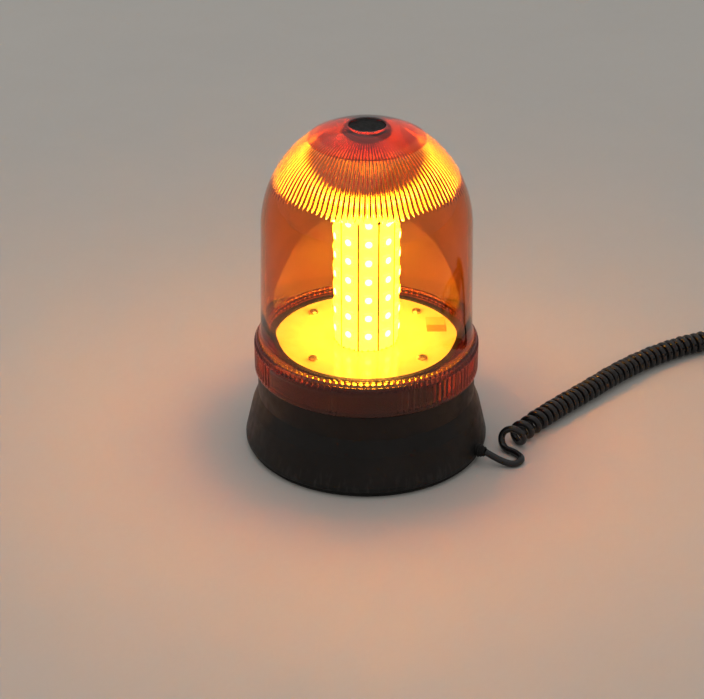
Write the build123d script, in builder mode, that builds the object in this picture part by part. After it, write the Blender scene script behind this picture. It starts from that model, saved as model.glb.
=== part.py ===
from build123d import *
import math
import os

os.makedirs("parts", exist_ok=True)

# Amber warning beacon with a magnetic foot and a curly supply lead to a lighter-socket plug.
# Millimetres. The origin is on the floor under the beacon's axis, +Z is up, the front is -Y.

# ---- driving dimensions ----
RUN_CLEARANCE = 0.05  # radial play of a shaft in its hole

# base
BASE_R = 70.0  # widest radius of the flared base
NECK_R = 62.3  # radius of the base just under the lens
HOUSING_FOOT_Z = 3.0
FLARE_Z = 6.0  # the widest circle ends here
FLARE_MID = (65.8, 24.0)  # radius and height where the flare steepens
NECK_Z = 33.0
SHOULDER_Z = 47.0  # ledge that carries the gasket and the lens
SPIGOT_R = 60.1  # upright collar of the base inside the lens
WALL = 3.0
DECK_Z = 63.9  # top face of the deck under the round board
LIP_R, LIP_WALL, LIP_H = 56.6, 3.2, 2.4
COVER_R, COVER_T = 58.0, 3.0
COVER_Z = 3.2
WELL_R, WELL_Z = 47.2, 17.0  # well over the magnet in the bottom cover
WELL_T = 2.5
PILLAR_COUNT, PILLAR_CIRCLE_R, PILLAR_R, PILLAR_TURN = 6, 52.0, 4.0, 5.0
FOOT_RING_R, FOOT_RING_BORE_R = 68.4, 60.0
FOOT_TONGUE = (62.5, 65.5, 1.0)  # inner radius, outer radius, height

# magnet
MAGNET_R = 44.5
PAD_T = 1.2
CUP_H, CUP_T = 13.0, 2.6
CORE_R = 12.0
RING_BORE_R, RING_R = 13.5, 41.0
MAGNET_BOLT_R = 3.0

# screws
SCREW_R, SCREW_HEAD_R, SCREW_HEAD_H = 1.4, 2.8, 1.8

# lens
LENS_RIM_R, LENS_RIM_Z, LENS_RIM_TOP_Z = 64.1, 47.9, 64.5
LENS_BORE_R = 60.6
LENS_WALL = 2.4
LENS_LOW = (60.3, 71.0)  # radius and height of the foot of the plain wall
LENS_HIGH = (58.9, 135.0)  # where the shoulder arc starts
SHOULDER_R = 63.7
CAP_R, CAP_Z = 32.4, 187.2  # raised round cap on the dome
TOP_Z = 194.4
RECESS_R, RECESS_Z = 10.2, 189.9
BOSS_R, BOSS_Z = 5.2, 160.3
GASKET_T = 0.8

# round board and light column
BOARD_R, BOARD_T = 52.9, 1.6
BOARD_SCREW_CIRCLE_R, BOARD_SCREW_TURN = 43.1, 46.0
STRIP_COUNT, STRIP_FACE_R, STRIP_W, STRIP_T = 10, 17.45, 10.7, 0.8
COLUMN_TURN = 3.0  # degrees that the column stands turned from square
COLUMN_TOP_Z = 158.5
LED_ROWS, LED_PITCH, LED_LOW_Z = 8, 11.24, 75.3
LED_SIZE, LED_H, LED_DOME_R = 5.0, 1.4, 1.9
POST_AF = 8.0
POST_STUD_R, POST_STUD_Z = 3.0, 55.0
LENS_SCREW_R, LENS_SCREW_END_Z, LENS_SCREW_HEAD_H = 2.0, 146.0, 1.9

# driver electronics
DRIVER_R, DRIVER_Z = 43.0, 30.0
STANDOFF_CIRCLE_R, STANDOFF_R = 36.0, 3.0
WIRE_R = 1.0

# supply lead
CORD_D = 4.0
CURL_D = 13.0
GLAND_AZIMUTH, GLAND_Z = -25.0, 7.5
GLAND_R, GLAND_FLANGE_R = 3.0, 3.9
GLAND_INNER_R, GLAND_WALL_R, GLAND_TIP_R = 59.5, 62.3, 75.0  # distances from the beacon's axis
LEAD_POINTS = [
    (68.0, -31.7, 7.5),
    (74.0, -34.2, 4.6),
    (81.0, -35.0, 2.1),
    (87.5, -31.5, 2.1),
    (89.0, -25.0, 3.5),
    (86.5, -19.5, 5.5),
]
CURL_POINTS = [
    (77.5, -26.0, 6.5),
    (92.0, -4.5, 6.5),
    (111.5, 18.5, 6.5),
    (133.5, 41.0, 6.5),
    (155.0, 65.0, 6.5),
    (180.0, 87.0, 6.5),
    (210.0, 105.5, 6.5),
    (241.0, 112.5, 6.5),
    (266.0, 106.5, 6.5),
    (284.0, 89.5, 6.5),
    (292.0, 66.0, 6.5),
]
TAIL_POINTS = [
    (292.0, 66.0, 2.1),
    (297.0, 40.0, 2.1),
    (299.0, 12.0, 2.1),
    (296.0, -17.0, 2.1),
    (286.0, -41.0, 2.1),
    (267.0, -54.5, 2.2),
    (250.5, -48.5, 4.6),
    (246.0, -35.5, 9.0),
    (246.0, -24.0, 12.0),
]

# lighter-socket plug, lying along +Y
PLUG_X, PLUG_Z = 246.0, 12.0
GRIP_R, GRIP_L = 12.0, 38.0
BARREL_R, BARREL_END = 10.45, 74.0
PLUG_BORE_R, PLUG_BORE = 7.6, (14.0, 72.0)
MOUTH_R, MOUTH_BORE_R, MOUTH_END = 7.4, 5.2, 81.0
STRAIN_L, STRAIN_ROOT_R, STRAIN_NECK_R = 24.0, 5.2, 3.1
NOSE_R, NOSE_END = 8.6, 85.0
TIP_R, TIP_FLANGE_R, TIP_END = 2.8, 4.4, 90.0
FUSE_R, FUSE_START, FUSE_END, FUSE_CAP_L = 3.15, 43.0, 74.5, 6.0
SPRING_START, SPRING_R, SPRING_WIRE_R, SPRING_TURNS = 37.0, 2.2, 0.35, 4
CONTACT_SLOT = (49.0, 69.0)
CONTACT_W, CONTACT_T, CONTACT_REACH = 4.0, 0.6, 11.6
BUTTON_S, BUTTON_R, BUTTON_LOW_Z, BUTTON_HIGH_Z = 24.0, 4.0, 20.2, 25.3
PLUG_BOARD_Z = 14.6
PLUG_SCREW_S, PLUG_SCREW_X, PLUG_SCREW_HEAD_Z = 8.0, 6.5, 5.5

# ---- helpers ----


def save(piece, label):
    """Name a finished piece and write its file."""
    piece.part.label = label
    export_step(piece.part, f"parts/{label}.step")


def turn(corners, mode=Mode.ADD):
    """Turn a closed outline of (radius, height) corners about the beacon's axis."""
    with BuildSketch(Plane.XZ) as outline:
        Polygon(*corners, align=None)
    revolve(outline.sketch, axis=Axis.Z, mode=mode)


def plug_turn(corners, mode=Mode.ADD):
    """Turn a closed outline of (radius, distance along the plug) corners about the plug's axis."""
    with BuildSketch(Plane.XY.offset(PLUG_Z)) as outline:
        Polygon(*[(PLUG_X + radius, along) for radius, along in corners], align=None)
    revolve(outline.sketch, axis=Axis((PLUG_X, 0, PLUG_Z), (0, 1, 0)), mode=mode)


def disc(radius, low, high, at=((0, 0),), mode=Mode.ADD):
    """Upright round bars between two heights, one at each place."""
    with BuildSketch(Plane.XY.offset(low)) as section:
        with Locations(*at):
            Circle(radius)
    extrude(section.sketch, amount=high - low, mode=mode)


def ring_places(radius, count, start):
    """Places spread evenly on a circle, the first at the given angle."""
    angles = [math.radians(start + step * 360 / count) for step in range(count)]
    return [(radius * math.cos(angle), radius * math.sin(angle)) for angle in angles]


def cord_path(points):
    """Straight runs joined by tangent arcs, each as large as its two runs allow."""
    corners = [Vector(*point) for point in points]
    runs = [after - before for before, after in zip(corners, corners[1:])]
    radii = []
    for before, after in zip(runs, runs[1:]):
        half_turn = math.radians(before.get_angle(after) / 2)
        radii.append(0.45 * min(before.length, after.length) / math.tan(half_turn))
    print("bend radii", [round(radius, 1) for radius in radii])
    with BuildLine() as path:
        FilletPolyline(*corners, radius=radii)
    return path.wires()[0]


def tube(points, diameter):
    """A plain round tube along a cord's route."""
    path = cord_path(points)
    with BuildSketch(path ^ 0) as section:
        Circle(diameter / 2)
    solid = sweep(section.sketch, path=path)
    section_times_length = math.pi * diameter**2 / 4 * path.length
    print("volume", round(solid.volume, 1), "section times length", round(section_times_length, 1))


# ---- base ----

gland_direction = Vector(1, 0, 0).rotate(Axis.Z, GLAND_AZIMUTH)
pillar_places = ring_places(PILLAR_CIRCLE_R, PILLAR_COUNT, PILLAR_TURN)
board_screw_places = ring_places(BOARD_SCREW_CIRCLE_R, 4, BOARD_SCREW_TURN)
wire_places = [(-12.0, 0.0), (12.0, 0.0)]
deck_low_z = DECK_Z - WALL
cover_top_z = COVER_Z + COVER_T


def gland_plane(radius):
    """A plane across the gland's axis at a distance from the beacon's axis."""
    middle = gland_direction * radius + Vector(0, 0, GLAND_Z)
    return Plane(origin=middle, x_dir=(0, 0, 1), z_dir=gland_direction)


def gland_bar(radius, near, far, mode=Mode.ADD):
    """A round bar on the gland's axis."""
    with BuildSketch(gland_plane(near)) as section:
        Circle(radius)
    extrude(section.sketch, amount=far - near, mode=mode)


with BuildPart() as base_housing:
    turn(
        [
            (COVER_R + 0.3, HOUSING_FOOT_Z),
            (BASE_R - 1, HOUSING_FOOT_Z),
            (BASE_R, HOUSING_FOOT_Z + 1),
            (BASE_R, FLARE_Z),
            FLARE_MID,
            (NECK_R, NECK_Z),
            (NECK_R, SHOULDER_Z),
            (SPIGOT_R, SHOULDER_Z),
            (SPIGOT_R, DECK_Z),
            (LIP_R, DECK_Z),
            (LIP_R, DECK_Z + LIP_H),
            (LIP_R - LIP_WALL, DECK_Z + LIP_H),
            (LIP_R - LIP_WALL, DECK_Z),
            (0, DECK_Z),
            (0, deck_low_z),
            (SPIGOT_R - WALL, deck_low_z),
            (SPIGOT_R - WALL, SHOULDER_Z + 1),
            (NECK_R - WALL, SHOULDER_Z - 1),
            (NECK_R - WALL, NECK_Z),
            (FLARE_MID[0] - WALL, FLARE_MID[1]),
            (BASE_R - WALL - 0.2, cover_top_z),
            (COVER_R + 0.3, cover_top_z),
        ]
    )
    disc(PILLAR_R, cover_top_z, deck_low_z + 0.5, pillar_places)
    disc(SCREW_R + RUN_CLEARANCE, cover_top_z, cover_top_z + 12, pillar_places, Mode.SUBTRACT)
    disc(SCREW_R + RUN_CLEARANCE, deck_low_z, DECK_Z, board_screw_places, Mode.SUBTRACT)
    disc(POST_STUD_R + RUN_CLEARANCE, deck_low_z, DECK_Z, mode=Mode.SUBTRACT)
    disc(3.0, deck_low_z, DECK_Z, wire_places, Mode.SUBTRACT)
    tongue_in, tongue_out, tongue_h = FOOT_TONGUE
    turn(
        [
            (tongue_in - 0.1, HOUSING_FOOT_Z),
            (tongue_out + 0.1, HOUSING_FOOT_Z),
            (tongue_out + 0.1, HOUSING_FOOT_Z + tongue_h + 0.1),
            (tongue_in - 0.1, HOUSING_FOOT_Z + tongue_h + 0.1),
        ],
        Mode.SUBTRACT,
    )
    gland_bar(GLAND_FLANGE_R + 0.2, COVER_R, GLAND_WALL_R, Mode.SUBTRACT)
    gland_bar(GLAND_R + RUN_CLEARANCE, COVER_R, BASE_R + 2, Mode.SUBTRACT)
save(base_housing, "base_housing")

with BuildPart() as foot_ring:
    turn(
        [
            (FOOT_RING_BORE_R, 0),
            (FOOT_RING_R - 1, 0),
            (FOOT_RING_R, 1),
            (FOOT_RING_R, HOUSING_FOOT_Z),
            (tongue_out, HOUSING_FOOT_Z),
            (tongue_out, HOUSING_FOOT_Z + tongue_h),
            (tongue_in, HOUSING_FOOT_Z + tongue_h),
            (tongue_in, HOUSING_FOOT_Z),
            (FOOT_RING_BORE_R, HOUSING_FOOT_Z),
        ]
    )
save(foot_ring, "foot_ring")

with BuildPart() as bottom_cover:
    turn(
        [
            (0, WELL_Z - WELL_T),
            (WELL_R - 2, WELL_Z - WELL_T),
            (WELL_R - 2, COVER_Z),
            (COVER_R, COVER_Z),
            (COVER_R, cover_top_z),
            (WELL_R, cover_top_z),
            (WELL_R, WELL_Z),
            (0, WELL_Z),
        ]
    )
    disc(MAGNET_BOLT_R + RUN_CLEARANCE, WELL_Z - WELL_T, WELL_Z, mode=Mode.SUBTRACT)
    disc(SCREW_R + 0.2, COVER_Z, cover_top_z, pillar_places, Mode.SUBTRACT)
    disc(SCREW_HEAD_R + 0.3, COVER_Z, COVER_Z + SCREW_HEAD_H, pillar_places, Mode.SUBTRACT)
save(bottom_cover, "bottom_cover")

with BuildPart() as cover_screws:
    disc(SCREW_HEAD_R, COVER_Z, COVER_Z + SCREW_HEAD_H, pillar_places)
    disc(SCREW_R, COVER_Z + SCREW_HEAD_H, cover_top_z + 10, pillar_places)
    disc(0.9, COVER_Z, COVER_Z + 0.8, pillar_places, Mode.SUBTRACT)
save(cover_screws, "cover_screws")

# ---- magnet foot ----

cup_low_z = PAD_T
cup_high_z = PAD_T + CUP_H

with BuildPart() as magnet_cup:
    disc(MAGNET_R, cup_low_z, cup_high_z)
    disc(MAGNET_R - CUP_T, cup_low_z, cup_high_z - CUP_T, mode=Mode.SUBTRACT)
    disc(CORE_R, cup_low_z, cup_high_z - CUP_T)
    disc(MAGNET_BOLT_R + RUN_CLEARANCE, cup_low_z, cup_high_z, mode=Mode.SUBTRACT)
    disc(6.2, cup_low_z, cup_low_z + 3.2, mode=Mode.SUBTRACT)
save(magnet_cup, "magnet_cup")

with BuildPart() as magnet_ring:
    disc(RING_R, cup_low_z + 0.1, cup_high_z - CUP_T)
    disc(RING_BORE_R, cup_low_z + 0.1, cup_high_z - CUP_T, mode=Mode.SUBTRACT)
    chamfer(magnet_ring.faces().sort_by(Axis.Z)[0].edges(), length=0.6)
save(magnet_ring, "magnet_ring")

with BuildPart() as magnet_bolt:
    disc(6.0, cup_low_z + 0.1, cup_low_z + 3.2)
    disc(MAGNET_BOLT_R, cup_low_z + 3.2, WELL_Z + 8)
    with BuildSketch(Plane.XY.offset(cup_low_z + 0.1)) as socket:
        RegularPolygon(2.3, 6)
    extrude(socket.sketch, amount=2.0, mode=Mode.SUBTRACT)
    with BuildSketch(Plane.XY.offset(WELL_Z)) as nut:
        RegularPolygon(5.0, 6, major_radius=False)
    extrude(nut.sketch, amount=5)
save(magnet_bolt, "magnet_bolt")

with BuildPart() as magnet_pad:
    disc(MAGNET_R, 0, PAD_T)
    chamfer(magnet_pad.faces().sort_by(Axis.Z)[0].edges(), length=0.4)
save(magnet_pad, "magnet_pad")

# ---- seal, round board and light column ----

with BuildPart() as lens_gasket:
    disc(NECK_R, SHOULDER_Z, SHOULDER_Z + GASKET_T)
    disc(SPIGOT_R + 0.1, SHOULDER_Z, SHOULDER_Z + GASKET_T, mode=Mode.SUBTRACT)
save(lens_gasket, "lens_gasket")

board_top_z = DECK_Z + BOARD_T

with BuildPart() as reflector_board:
    disc(BOARD_R, DECK_Z, board_top_z)
    disc(POST_STUD_R + 0.2, DECK_Z, board_top_z, mode=Mode.SUBTRACT)
    disc(2.5, DECK_Z, board_top_z, wire_places, Mode.SUBTRACT)
    disc(SCREW_R + 0.2, DECK_Z, board_top_z, board_screw_places, Mode.SUBTRACT)
save(reflector_board, "reflector_board")

with BuildPart() as board_screws:
    disc(SCREW_R, deck_low_z - 3, board_top_z, board_screw_places)
    disc(SCREW_HEAD_R, board_top_z, board_top_z + SCREW_HEAD_H, board_screw_places)
    chamfer(board_screws.faces().group_by(Axis.Z)[-1].edges(), length=0.5)
    with BuildSketch(Plane.XY.offset(board_top_z + SCREW_HEAD_H)) as slots:
        with Locations(*board_screw_places):
            Rectangle(3.4, 0.7)
            Rectangle(0.7, 3.4)
    extrude(slots.sketch, amount=-1.0, mode=Mode.SUBTRACT)
save(board_screws, "board_screws")

with BuildPart() as blank_label:
    with BuildSketch(Plane.XY.offset(board_top_z + 0.02)):
        with Locations((40.6, 15.5)):
            Rectangle(11.4, 18.0)
    extrude(amount=0.2)
save(blank_label, "blank_label")

with BuildPart() as centre_post:
    with BuildSketch(Plane.XY.offset(board_top_z)):
        RegularPolygon(POST_AF / 2, 6, major_radius=False)
    extrude(amount=COLUMN_TOP_Z - board_top_z)
    disc(POST_STUD_R, POST_STUD_Z, board_top_z)
    disc(LENS_SCREW_R + RUN_CLEARANCE, COLUMN_TOP_Z - 16, COLUMN_TOP_Z, mode=Mode.SUBTRACT)
save(centre_post, "centre_post")

with BuildPart() as column_top:
    with BuildSketch(Plane.XY.offset(COLUMN_TOP_Z)):
        RegularPolygon(STRIP_FACE_R, STRIP_COUNT, major_radius=False, rotation=COLUMN_TURN)
        Circle(LENS_SCREW_R + 0.3, mode=Mode.SUBTRACT)
    extrude(amount=BOARD_T)
save(column_top, "column_top")


def strip_plane(number, radius, height):
    """A plane on a face of the column: local x runs round it, local y up, z outwards."""
    angle = math.radians(-90 + COLUMN_TURN + number * 360 / STRIP_COUNT)
    across, along = math.cos(angle), math.sin(angle)
    middle = (radius * across, radius * along, height)
    return Plane(origin=middle, x_dir=(-along, across, 0), z_dir=(across, along, 0))


led_mid_z = LED_LOW_Z + (LED_ROWS - 1) * LED_PITCH / 2
for number in range(STRIP_COUNT):
    strip_mid_z = (board_top_z + COLUMN_TOP_Z) / 2
    with BuildPart() as led_strip:
        with BuildSketch(strip_plane(number, STRIP_FACE_R - STRIP_T, strip_mid_z)):
            Rectangle(STRIP_W, COLUMN_TOP_Z - board_top_z)
        extrude(amount=STRIP_T)
    save(led_strip, f"led_strip_{number + 1:02d}")

    with BuildPart() as strip_leds:
        with BuildSketch(strip_plane(number, STRIP_FACE_R, led_mid_z)):
            with GridLocations(0, LED_PITCH, 1, LED_ROWS):
                Rectangle(LED_SIZE, LED_SIZE)
        extrude(amount=LED_H)
        with BuildSketch(strip_plane(number, STRIP_FACE_R + LED_H, led_mid_z)):
            with GridLocations(0, LED_PITCH, 1, LED_ROWS):
                Circle(LED_DOME_R)
        extrude(amount=0.3)
    save(strip_leds, f"strip_leds_{number + 1:02d}")

# ---- driver electronics ----

standoff_places = ring_places(STANDOFF_CIRCLE_R, 3, 35.0)
driver_top_z = DRIVER_Z + BOARD_T
connector_reach = 30.0

with BuildPart() as driver_board:
    disc(DRIVER_R, DRIVER_Z, driver_top_z)
    disc(6.0, DRIVER_Z, driver_top_z, mode=Mode.SUBTRACT)
    disc(1.6, DRIVER_Z, driver_top_z, standoff_places, Mode.SUBTRACT)
save(driver_board, "driver_board")

with BuildPart() as board_standoffs:
    with BuildSketch(Plane.XY.offset(WELL_Z)):
        with Locations(*standoff_places):
            RegularPolygon(STANDOFF_R, 6)
    extrude(amount=DRIVER_Z - WELL_Z)
    disc(1.5, DRIVER_Z, driver_top_z + 2, standoff_places)
save(board_standoffs, "board_standoffs")

with BuildPart() as filter_capacitors:
    capacitor_places = [(-20.0, -14.0), (-26.0, 4.0)]
    disc(6.3, driver_top_z, driver_top_z + 20, capacitor_places)
    fillet(filter_capacitors.faces().group_by(Axis.Z)[-1].edges(), radius=1.0)
save(filter_capacitors, "filter_capacitors")

with BuildPart() as choke_coil:
    choke_middle = (8.0, 24.0, driver_top_z + 4.2)
    with BuildSketch(Plane(origin=choke_middle, x_dir=(1, 0, 0), z_dir=(0, -1, 0))):
        with Locations((9.0, 0)):
            Circle(4.0)
    revolve(axis=Axis(choke_middle, (0, 0, 1)))
save(choke_coil, "choke_coil")

with BuildPart() as driver_chips:
    with BuildSketch(Plane.XY.offset(driver_top_z)):
        with Locations((14.0, -30.0), (0.0, -26.0), (-6.0, 34.0)):
            Rectangle(8.0, 5.0)
        with Locations((30.0, 14.0)):
            Rectangle(10.0, 9.0)
    extrude(amount=2.2)
save(driver_chips, "driver_chips")

with BuildPart() as wire_connector:
    connector_middle = gland_direction * connector_reach
    connector_plane = Plane(
        origin=connector_middle + Vector(0, 0, driver_top_z), x_dir=gland_direction, z_dir=(0, 0, 1)
    )
    with BuildSketch(connector_plane) as footprint:
        Rectangle(8.0, 12.0)
    extrude(footprint.sketch, amount=8.0)
    with BuildSketch(connector_plane.offset(8.0)) as sockets:
        with Locations((0, -2.5), (0, 2.5)):
            Circle(WIRE_R + 0.3)
    extrude(sockets.sketch, amount=-4.0, mode=Mode.SUBTRACT)
save(wire_connector, "wire_connector")


def inner_wire_route(side):
    """From the gland's inner face up the wall and over to the connector, in the gland's plane."""
    sideways = Vector(0, 0, 1).cross(gland_direction) * side
    stops = [
        (GLAND_INNER_R - 0.1, GLAND_Z),
        (54.0, 8.2),
        (50.0, 28.0),
        (44.0, 44.0),
        (connector_reach, 47.0),
        (connector_reach, 36.0),
    ]
    return [
        gland_direction * reach + sideways * (1.5 if reach > 53 else 2.5) + Vector(0, 0, height)
        for reach, height in stops
    ]


with BuildPart() as inner_wires:
    for side in (-1, 1):
        with BuildLine() as wire_line:
            FilletPolyline(*inner_wire_route(side), radius=3.0)
        with BuildSketch(wire_line.line ^ 0) as wire_section:
            Circle(WIRE_R)
        sweep(wire_section.sketch, path=wire_line.line)
    disc(WIRE_R, driver_top_z, board_top_z + 8, wire_places)
save(inner_wires, "inner_wires")

# ---- lens and its fixings ----

with BuildPart() as lens_dome:
    with BuildSketch(Plane.XZ):
        with BuildLine():
            shoulder_centre = (LENS_HIGH[0] - SHOULDER_R, LENS_HIGH[1])
            shoulder_turn = math.degrees(math.acos((CAP_R + 0.6 - shoulder_centre[0]) / SHOULDER_R))
            outer = CenterArc(shoulder_centre, SHOULDER_R, 0, shoulder_turn)
            inner = CenterArc(shoulder_centre, SHOULDER_R - LENS_WALL, 0, shoulder_turn)
            cup_r = RECESS_R + LENS_WALL
            cap_mid_r = (CAP_R + RECESS_R + 1) / 2
            cap = ThreePointArc(
                (CAP_R, CAP_Z), (cap_mid_r, CAP_Z + 4.6), (RECESS_R + 1, TOP_Z)
            )
            cap_under = ThreePointArc(
                (cup_r, TOP_Z - 2.8), (cap_mid_r, CAP_Z + 2.1), (CAP_R - 1.2, CAP_Z - 2.3)
            )
            Polyline(
                inner @ 0,
                (LENS_LOW[0] - LENS_WALL, LENS_LOW[1]),
                (LENS_LOW[0] - LENS_WALL, LENS_RIM_TOP_Z + 1.8),
                (LENS_BORE_R, LENS_RIM_TOP_Z + 1.8),
                (LENS_BORE_R, LENS_RIM_Z),
                (LENS_RIM_R, LENS_RIM_Z),
                (LENS_RIM_R, LENS_RIM_TOP_Z),
                LENS_LOW,
                outer @ 0,
            )
            Line(outer @ 1, cap @ 0)
            Polyline(
                cap @ 1,
                (RECESS_R, TOP_Z),
                (RECESS_R, RECESS_Z),
                (LENS_SCREW_R + 0.3, RECESS_Z),
                (LENS_SCREW_R + 0.3, BOSS_Z),
                (BOSS_R, BOSS_Z),
                (BOSS_R, RECESS_Z - LENS_WALL),
                (cup_r, RECESS_Z - LENS_WALL),
                cap_under @ 0,
            )
            Line(cap_under @ 1, inner @ 1)
        make_face()
    revolve(axis=Axis.Z)
save(lens_dome, "lens_dome")

with BuildPart() as lens_screw:
    disc(LENS_SCREW_R, LENS_SCREW_END_Z, RECESS_Z)
    disc(4.0, RECESS_Z, RECESS_Z + LENS_SCREW_HEAD_H)
    chamfer(lens_screw.faces().sort_by(Axis.Z)[0].edges(), length=0.5)
    with BuildSketch(Plane.XY.offset(RECESS_Z + LENS_SCREW_HEAD_H)) as cross:
        Rectangle(5.0, 1.0)
        Rectangle(1.0, 5.0)
    extrude(cross.sketch, amount=-1.2, mode=Mode.SUBTRACT)
save(lens_screw, "lens_screw")

with BuildPart() as top_plug:
    plug_r = RECESS_R - 0.1
    turn(
        [
            (0, TOP_Z - 2.4),
            (plug_r - 1.8, TOP_Z - 2.4),
            (plug_r - 1.8, TOP_Z - 4.4),
            (plug_r, TOP_Z - 4.4),
            (plug_r, TOP_Z - 0.9),
            (plug_r - 0.7, TOP_Z - 0.4),
            (plug_r - 2.4, TOP_Z - 0.9),
            (0, TOP_Z - 0.9),
        ]
    )
save(top_plug, "top_plug")

# ---- supply lead ----

with BuildPart() as cable_gland:
    gland_bar(GLAND_FLANGE_R, GLAND_INNER_R, GLAND_WALL_R - 0.1)
    gland_bar(GLAND_R, GLAND_INNER_R, BASE_R + 0.8)
    with BuildSketch(gland_plane(BASE_R + 0.8)) as nose_root:
        Circle(GLAND_FLANGE_R)
    with BuildSketch(gland_plane(GLAND_TIP_R)) as nose_end:
        Circle(CORD_D / 2 + 0.7)
    loft([nose_root.sketch, nose_end.sketch])
save(cable_gland, "cable_gland")

with BuildPart() as cord_lead:
    tube(LEAD_POINTS, CORD_D)
save(cord_lead, "cord_lead")

with BuildPart() as cord_curly:
    tube(CURL_POINTS, CURL_D)
save(cord_curly, "cord_curly")

with BuildPart() as cord_tail:
    tube(TAIL_POINTS, CORD_D)
save(cord_tail, "cord_tail")

# ---- lighter-socket plug ----


def plug_bar(radius, near, far, mode=Mode.ADD):
    """A round bar on the plug's axis."""
    plug_turn([(0, near), (radius, near), (radius, far), (0, far)], mode)


def upright_bar(radius, along, low, high, mode=Mode.ADD):
    """A round upright bar at a distance along the plug."""
    disc(radius, low, high, [(PLUG_X, along)], mode)


plug_screw_places = [(PLUG_X - PLUG_SCREW_X, PLUG_SCREW_S), (PLUG_X + PLUG_SCREW_X, PLUG_SCREW_S)]


def plug_shell():
    """The whole plug body, before it is parted along its middle plane."""
    plug_turn(
        [
            (0, 0),
            (GRIP_R - 3, 0),
            (GRIP_R - 0.6, 5),
            (GRIP_R, 12),
            (GRIP_R, GRIP_L - 6),
            (GRIP_R - 0.6, GRIP_L),
            (BARREL_R, GRIP_L),
            (BARREL_R, BARREL_END - 1),
            (BARREL_R - 1, BARREL_END),
            (MOUTH_R, BARREL_END),
            (MOUTH_R, MOUTH_END),
            (0, MOUTH_END),
        ]
    )
    plug_bar(PLUG_BORE_R, *PLUG_BORE, Mode.SUBTRACT)
    plug_bar(MOUTH_BORE_R, PLUG_BORE[1], MOUTH_END, Mode.SUBTRACT)
    plug_bar(STRAIN_NECK_R + 0.1, 0, PLUG_BORE[0], Mode.SUBTRACT)
    with BuildSketch(Plane.XY.offset(PLUG_Z - CONTACT_W / 2 - 0.4)) as slots:
        with Locations((PLUG_X, sum(CONTACT_SLOT) / 2)):
            Rectangle(2 * GRIP_R + 2, CONTACT_SLOT[1] - CONTACT_SLOT[0])
    extrude(slots.sketch, amount=CONTACT_W + 0.8, mode=Mode.SUBTRACT)


with BuildPart() as plug_shell_lower:
    plug_shell()
    split(bisect_by=Plane.XY.offset(PLUG_Z), keep=Keep.BOTTOM)
    disc(SCREW_R + 0.2, 0, PLUG_Z, plug_screw_places, Mode.SUBTRACT)
    disc(2.4, 0, PLUG_SCREW_HEAD_Z + SCREW_HEAD_H, plug_screw_places, Mode.SUBTRACT)
save(plug_shell_lower, "plug_shell_lower")

with BuildPart() as plug_shell_upper:
    plug_shell()
    split(bisect_by=Plane.XY.offset(PLUG_Z), keep=Keep.TOP)
    disc(SCREW_R + RUN_CLEARANCE, PLUG_Z, PLUG_Z + 6, plug_screw_places, Mode.SUBTRACT)
    upright_bar(BUTTON_R + 0.3, BUTTON_S, PLUG_Z, PLUG_Z + GRIP_R + 1, Mode.SUBTRACT)
save(plug_shell_upper, "plug_shell_upper")

with BuildPart() as plug_screws:
    disc(2.2, PLUG_SCREW_HEAD_Z, PLUG_SCREW_HEAD_Z + SCREW_HEAD_H, plug_screw_places)
    disc(SCREW_R, PLUG_SCREW_HEAD_Z + SCREW_HEAD_H, PLUG_Z + 5.5, plug_screw_places)
    disc(0.8, PLUG_SCREW_HEAD_Z, PLUG_SCREW_HEAD_Z + 0.8, plug_screw_places, Mode.SUBTRACT)
save(plug_screws, "plug_screws")

with BuildPart() as plug_strain_relief:
    plug_turn(
        [
            (0, -STRAIN_L),
            (CORD_D / 2 + 0.8, -STRAIN_L),
            (STRAIN_ROOT_R, -3),
            (STRAIN_ROOT_R, 0),
            (STRAIN_NECK_R, 0),
            (STRAIN_NECK_R, PLUG_BORE[0] - 2),
            (0, PLUG_BORE[0] - 2),
        ]
    )
save(plug_strain_relief, "plug_strain_relief")

with BuildPart() as plug_board:
    with BuildSketch(Plane.XY.offset(PLUG_BOARD_Z)):
        with Locations((PLUG_X, (PLUG_BORE[0] + SPRING_START) / 2)):
            Rectangle(11.0, SPRING_START - PLUG_BORE[0] - 2)
    extrude(amount=1.2)
    with BuildSketch(Plane.XY.offset(PLUG_BOARD_Z + 1.2)):
        with Locations((PLUG_X, BUTTON_S)):
            Rectangle(6.0, 6.0)
    extrude(amount=2.6)
    upright_bar(1.6, BUTTON_S, PLUG_BOARD_Z + 3.8, BUTTON_LOW_Z - 0.8)
save(plug_board, "plug_board")

with BuildPart() as mode_button:
    upright_bar(BUTTON_R, BUTTON_S, BUTTON_LOW_Z, BUTTON_HIGH_Z)
    fillet(mode_button.faces().sort_by(Axis.Z)[-1].edges(), radius=0.8)
save(mode_button, "mode_button")

with BuildPart() as contact_spring:
    spring_l = FUSE_START - SPRING_START - 2 * SPRING_WIRE_R
    spring_foot = (PLUG_X, SPRING_START + SPRING_WIRE_R, PLUG_Z)
    with BuildLine() as coil:
        Helix(spring_l / SPRING_TURNS, spring_l, SPRING_R, center=spring_foot, direction=(0, 1, 0))
    with BuildSketch(coil.line ^ 0) as spring_wire:
        Circle(SPRING_WIRE_R)
    sweep(spring_wire.sketch, path=coil.line, is_frenet=True)
save(contact_spring, "contact_spring")

with BuildPart() as fuse:
    plug_bar(FUSE_R - 0.2, FUSE_START, FUSE_END)
    plug_bar(FUSE_R, FUSE_START, FUSE_START + FUSE_CAP_L)
    plug_bar(FUSE_R, FUSE_END - FUSE_CAP_L, FUSE_END)
save(fuse, "fuse")

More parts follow.
